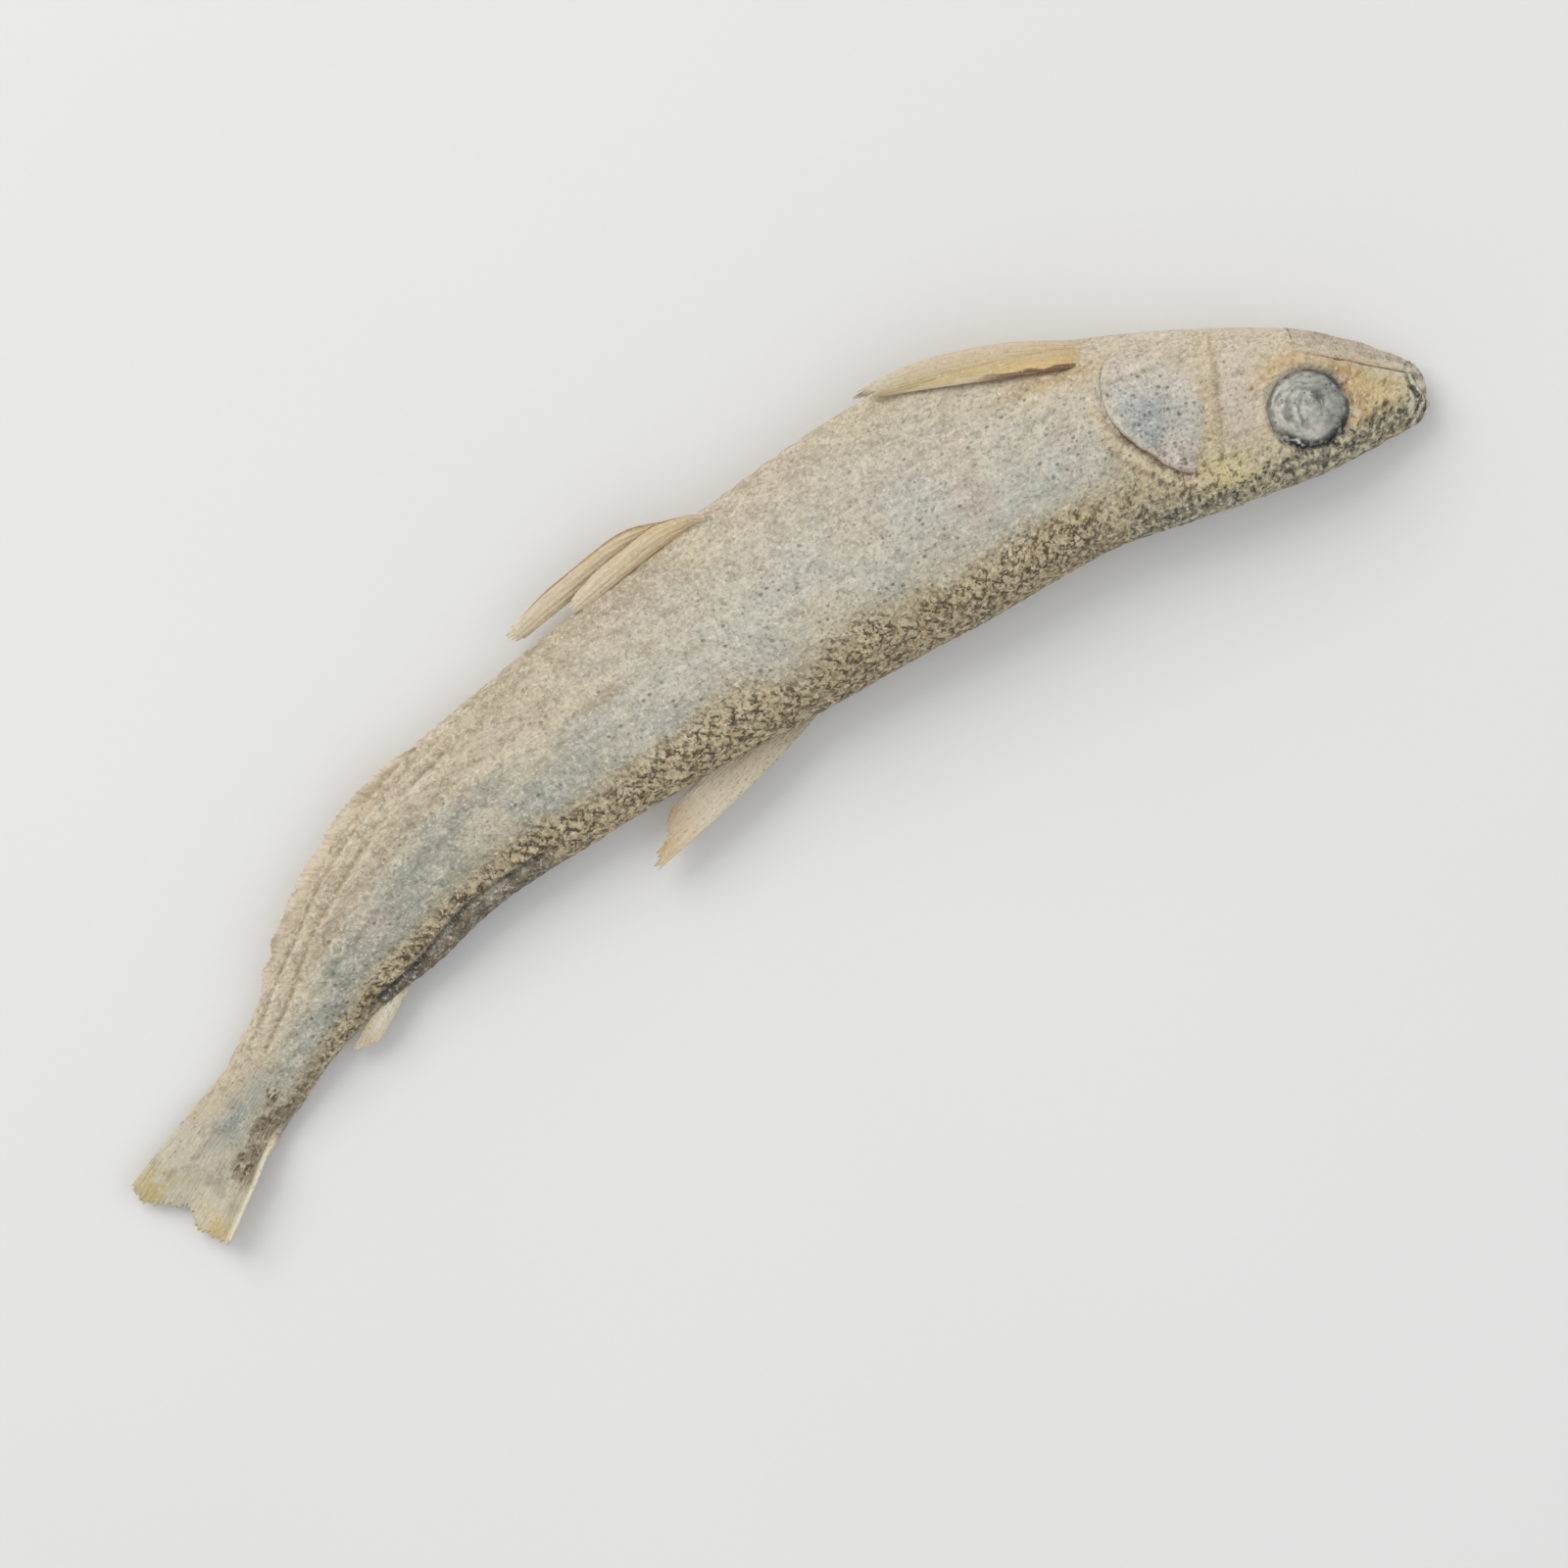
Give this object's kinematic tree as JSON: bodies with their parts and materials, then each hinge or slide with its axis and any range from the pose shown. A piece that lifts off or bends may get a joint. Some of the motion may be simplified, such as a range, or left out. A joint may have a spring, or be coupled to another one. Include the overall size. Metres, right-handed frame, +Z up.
{
  "type": "smoked fish",
  "caption": "Small whole smoked and dried fish with a bent slender body, folded fins, gill covers, sunken eyes and a forked tail, lying on its side as food or a food prop.",
  "frame": {"origin": "middle of the fish's outline box, on the surface that it lies on", "axes": "+X from the tail towards the snout along the straight line between them, +Y towards the belly, +Z up, out of the left flank"},
  "size_m": [0.115, 0.0282, 0.0087],
  "materials": {
    "skin": "dry matte fish skin, blue-grey and cream, golden brown scales along the back",
    "plate": "thin dry bone under skin, cream to blue-grey, faint sheen",
    "eye": "dried clouded eye, grey, creased, slightly glossy",
    "fin": "dry translucent fin, cream to orange, fine rays"
  },
  "bodies": {
    "root": {"body": "skin", "lower_jaw": "plate", "left_eye": "eye", "right_eye": "eye", "left_gill_cover": "plate", "right_gill_cover": "plate", "left_pectoral_fin": "fin", "right_pectoral_fin": "fin", "left_pelvic_fin": "fin", "right_pelvic_fin": "fin", "dorsal_fin": "fin", "adipose_fin": "fin", "anal_fin": "fin", "tail_fin": "fin"}
  },
  "joints": []
}
